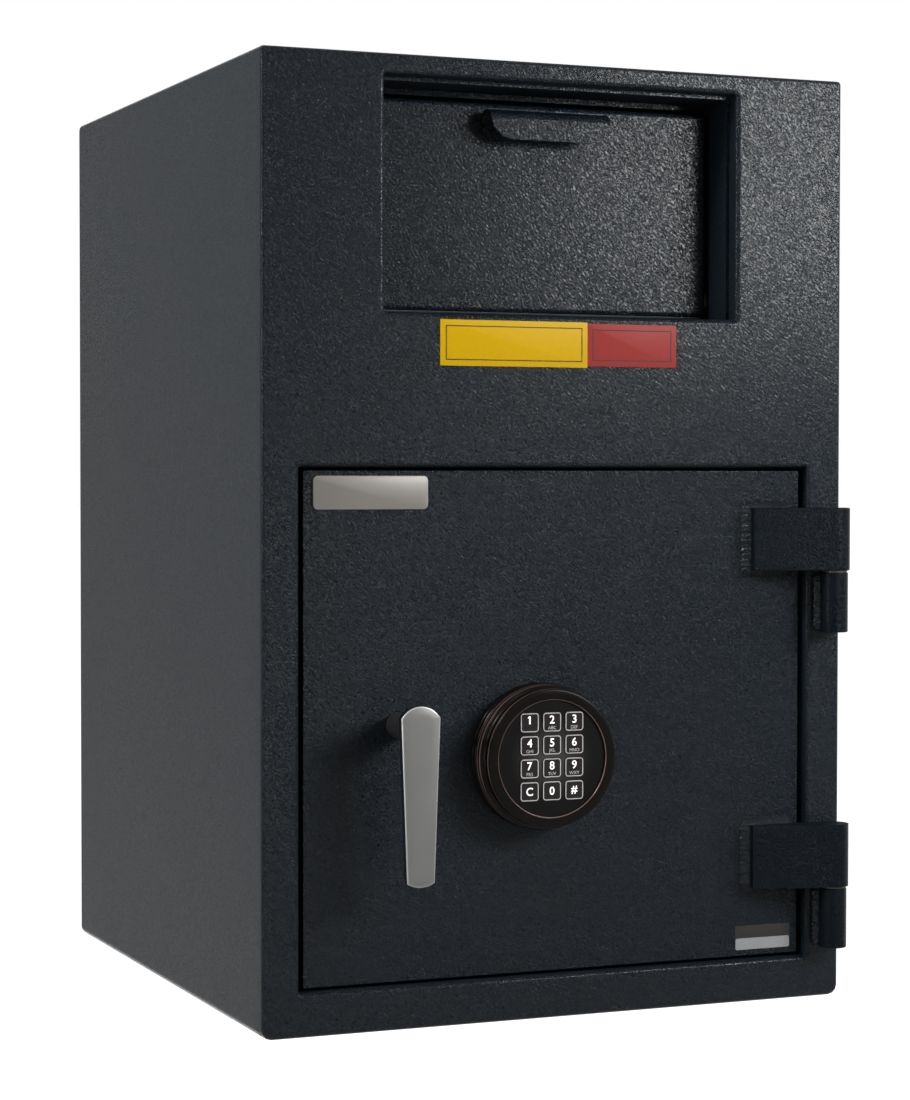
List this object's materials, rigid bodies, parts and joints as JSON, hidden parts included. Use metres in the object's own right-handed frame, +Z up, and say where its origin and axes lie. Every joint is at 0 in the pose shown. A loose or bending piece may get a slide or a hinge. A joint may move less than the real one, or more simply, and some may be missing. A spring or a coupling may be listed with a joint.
{
  "type": "drop safe with deposit drawer",
  "caption": "Free-standing steel deposit safe with a tilt-out deposit drawer in a recess above a hinged door, which has an electronic dial lock and a lever handle.",
  "frame": {"origin": "middle of the base, on the surface the safe stands on", "axes": "+Z up, the front with the drawer and the door looks towards -Y, +X to the right seen from the front"},
  "size_m": [0.508, 0.5784, 0.762],
  "materials": {
    "slate_paint": "leather-grain powder coat, charcoal slate",
    "satin_lever": "satin cast metal",
    "dial_bronze": "polished dark bronze plate",
    "keypad_black": "satin moulded plastic",
    "key_black": "soft-touch moulded plastic with pale outlines",
    "zinc_plate": "zinc-plated sheet steel",
    "bright_steel": "turned bright steel",
    "bush_brass": "turned brass, oiled and dark",
    "label_yellow": "printed vinyl label, yellow with a black border",
    "label_red": "printed vinyl label, red with a black border",
    "plate_silver": "brushed metal plate",
    "weld_paint": "painted weld bead"
  },
  "bodies": {
    "body": {"body_wrap": "slate_paint", "top_back_plate": "slate_paint", "front_frame": "slate_paint", "deposit_liner": "slate_paint", "deposit_baffle": "slate_paint", "drawer_stop_left": "zinc_plate", "drawer_stop_right": "zinc_plate", "pivot_bush_left": "bush_brass", "pivot_bush_right": "bush_brass", "hinge_knuckle_upper": "slate_paint", "hinge_knuckle_lower": "slate_paint", "hinge_pin_upper": "bright_steel", "hinge_pin_lower": "bright_steel", "hinge_washer_upper": "bush_brass", "hinge_washer_lower": "bush_brass"},
    "drawer": {"drawer_front": "slate_paint", "drawer_floor": "zinc_plate", "drawer_cheek_left": "zinc_plate", "drawer_cheek_right": "zinc_plate", "drawer_pull": "slate_paint", "pivot_pin_left": "bright_steel", "pivot_pin_right": "bright_steel"},
    "door": {"door_plate": "slate_paint", "hinge_strap_upper": "slate_paint", "hinge_strap_lower": "slate_paint", "bolt_guide": "zinc_plate", "dead_bar": "zinc_plate", "carriage_stud_lower": "bright_steel", "carriage_stud_upper": "bright_steel", "spindle_bush": "bush_brass", "lock_case": "zinc_plate", "keypad_base": "dial_bronze"},
    "handle": {"handle_lever": "satin_lever", "handle_spindle": "bright_steel", "handle_cam": "zinc_plate", "drive_pin": "bright_steel", "spindle_nut": "bright_steel"},
    "boltwork": {"bolt_carriage": "zinc_plate", "bolt_lower": "bright_steel", "bolt_middle": "bright_steel", "bolt_upper": "bright_steel"},
    "dial": {"dial_ring": "dial_bronze", "keypad_face": "keypad_black", "dial_spindle": "bright_steel"},
    "lock_bolt": {"lock_bolt": "bush_brass"},
    "key_1": {"key_1": "key_black"},
    "key_2": {"key_2": "key_black"},
    "key_3": {"key_3": "key_black"},
    "key_4": {"key_4": "key_black"},
    "key_5": {"key_5": "key_black"},
    "key_6": {"key_6": "key_black"},
    "key_7": {"key_7": "key_black"},
    "key_8": {"key_8": "key_black"},
    "key_9": {"key_9": "key_black"},
    "key_clear": {"key_clear": "key_black"},
    "key_0": {"key_0": "key_black"},
    "key_enter": {"key_enter": "key_black"}
  },
  "joints": [
    {"name": "door_swing", "type": "hinge", "parent": "body", "child": "door", "pos_m": [0.2413, -0.2799, 0.2377], "axis": [0, 0, 1], "range_deg": [0, 180]},
    {"name": "drawer_tilt", "type": "hinge", "parent": "body", "child": "drawer", "pos_m": [0.0015, -0.2127, 0.5775], "axis": [1, 0, 0], "range_deg": [0, 60]},
    {"name": "handle_turn", "type": "hinge", "parent": "door", "child": "handle", "pos_m": [-0.14, -0.2602, 0.239], "axis": [0, 1, 0], "range_deg": [0, 90]},
    {"name": "boltwork_slide", "type": "slide", "parent": "door", "child": "boltwork", "axis": [-1, 0, 0], "range_m": [0, 0.019]},
    {"name": "dial_turn", "type": "hinge", "parent": "door", "child": "dial", "pos_m": [-0.019, -0.2602, 0.2107], "axis": [0, 1, 0], "range_deg": [0, 90]},
    {"name": "lock_bolt_slide", "type": "slide", "parent": "door", "child": "lock_bolt", "axis": [-1, 0, 0], "range_m": [0, 0.009]},
    {"name": "key_1_press", "type": "slide", "parent": "dial", "child": "key_1", "axis": [0, 1, 0], "range_m": [0, 0.0005], "stiffness_N_per_m": 400},
    {"name": "key_2_press", "type": "slide", "parent": "dial", "child": "key_2", "axis": [0, 1, 0], "range_m": [0, 0.0005], "stiffness_N_per_m": 400},
    {"name": "key_3_press", "type": "slide", "parent": "dial", "child": "key_3", "axis": [0, 1, 0], "range_m": [0, 0.0005], "stiffness_N_per_m": 400},
    {"name": "key_4_press", "type": "slide", "parent": "dial", "child": "key_4", "axis": [0, 1, 0], "range_m": [0, 0.0005], "stiffness_N_per_m": 400},
    {"name": "key_5_press", "type": "slide", "parent": "dial", "child": "key_5", "axis": [0, 1, 0], "range_m": [0, 0.0005], "stiffness_N_per_m": 400},
    {"name": "key_6_press", "type": "slide", "parent": "dial", "child": "key_6", "axis": [0, 1, 0], "range_m": [0, 0.0005], "stiffness_N_per_m": 400},
    {"name": "key_7_press", "type": "slide", "parent": "dial", "child": "key_7", "axis": [0, 1, 0], "range_m": [0, 0.0005], "stiffness_N_per_m": 400},
    {"name": "key_8_press", "type": "slide", "parent": "dial", "child": "key_8", "axis": [0, 1, 0], "range_m": [0, 0.0005], "stiffness_N_per_m": 400},
    {"name": "key_9_press", "type": "slide", "parent": "dial", "child": "key_9", "axis": [0, 1, 0], "range_m": [0, 0.0005], "stiffness_N_per_m": 400},
    {"name": "key_clear_press", "type": "slide", "parent": "dial", "child": "key_clear", "axis": [0, 1, 0], "range_m": [0, 0.0005], "stiffness_N_per_m": 400},
    {"name": "key_0_press", "type": "slide", "parent": "dial", "child": "key_0", "axis": [0, 1, 0], "range_m": [0, 0.0005], "stiffness_N_per_m": 400},
    {"name": "key_enter_press", "type": "slide", "parent": "dial", "child": "key_enter", "axis": [0, 1, 0], "range_m": [0, 0.0005], "stiffness_N_per_m": 400}
  ],
  "couplings": [
    {"joint": "boltwork_slide", "follows": "handle_turn", "m_per_rad": 0.012095},
    {"joint": "lock_bolt_slide", "follows": "dial_turn", "m_per_rad": 0.005729}
  ]
}
